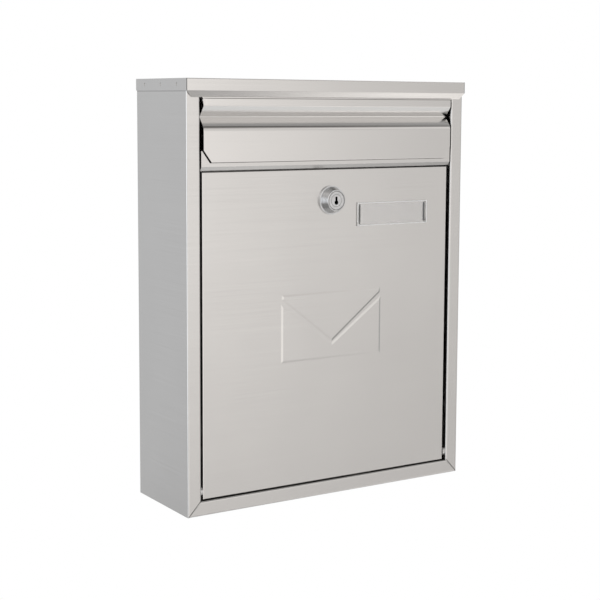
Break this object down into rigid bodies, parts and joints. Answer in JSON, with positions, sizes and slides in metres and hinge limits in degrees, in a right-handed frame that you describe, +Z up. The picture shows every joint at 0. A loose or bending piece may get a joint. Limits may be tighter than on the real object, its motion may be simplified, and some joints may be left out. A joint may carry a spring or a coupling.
{
  "type": "wall mounted mailbox",
  "caption": "Flat stainless steel wall letterbox with an inward-swinging mail flap, a lockable drop-down front door, a name plate cover and an envelope emblem.",
  "frame": {"origin": "centre of the four wall screw holes, on the back face that lies against the wall", "axes": "+Z up, +Y into the wall, so the front faces -Y and +X is to the right seen from the front"},
  "size_m": [0.2504, 0.0864, 0.32],
  "materials": {
    "shell_steel": "fine horizontal brushing",
    "door_steel": "fine horizontal brushing",
    "flap_steel": "fine horizontal brushing",
    "hinge_steel": "drawn wire and rivet steel",
    "lock_chrome": "polished chrome plate",
    "zinc_hardware": "zinc plated",
    "clear_plastic": "clear moulded polystyrene"
  },
  "bodies": {
    "root": {"left_side_panel": "shell_steel", "right_side_panel": "shell_steel", "bottom_panel": "shell_steel", "back_panel": "shell_steel", "lid": "shell_steel", "crossbar": "shell_steel", "left_door_pivot": "hinge_steel", "right_door_pivot": "hinge_steel", "flap_hinge_rod": "hinge_steel", "left_flap_bracket": "shell_steel", "right_flap_bracket": "shell_steel"},
    "door": {"door_panel": "door_steel", "lock_housing": "lock_chrome", "lock_washer": "zinc_hardware", "lock_nut": "zinc_hardware", "name_plate_cover": "clear_plastic"},
    "lock_core": {"lock_plug": "lock_chrome", "lock_cam": "zinc_hardware", "lock_cam_screw": "zinc_hardware"},
    "flap": {"mail_flap": "flap_steel"}
  },
  "joints": [
    {"name": "door_hinge", "type": "hinge", "parent": "root", "child": "door", "pos_m": [0, -0.0759, -0.1244], "axis": [1, 0, 0], "range_deg": [0, 110]},
    {"name": "lock_turn", "type": "hinge", "parent": "door", "child": "lock_core", "pos_m": [0, -0.0786, 0.0873], "axis": [0, -1, 0], "range_deg": [0, 90]},
    {"name": "flap_hinge", "type": "hinge", "parent": "root", "child": "flap", "pos_m": [0, -0.08032, 0.16245], "axis": [1, 0, 0], "range_deg": [0, 75]}
  ]
}
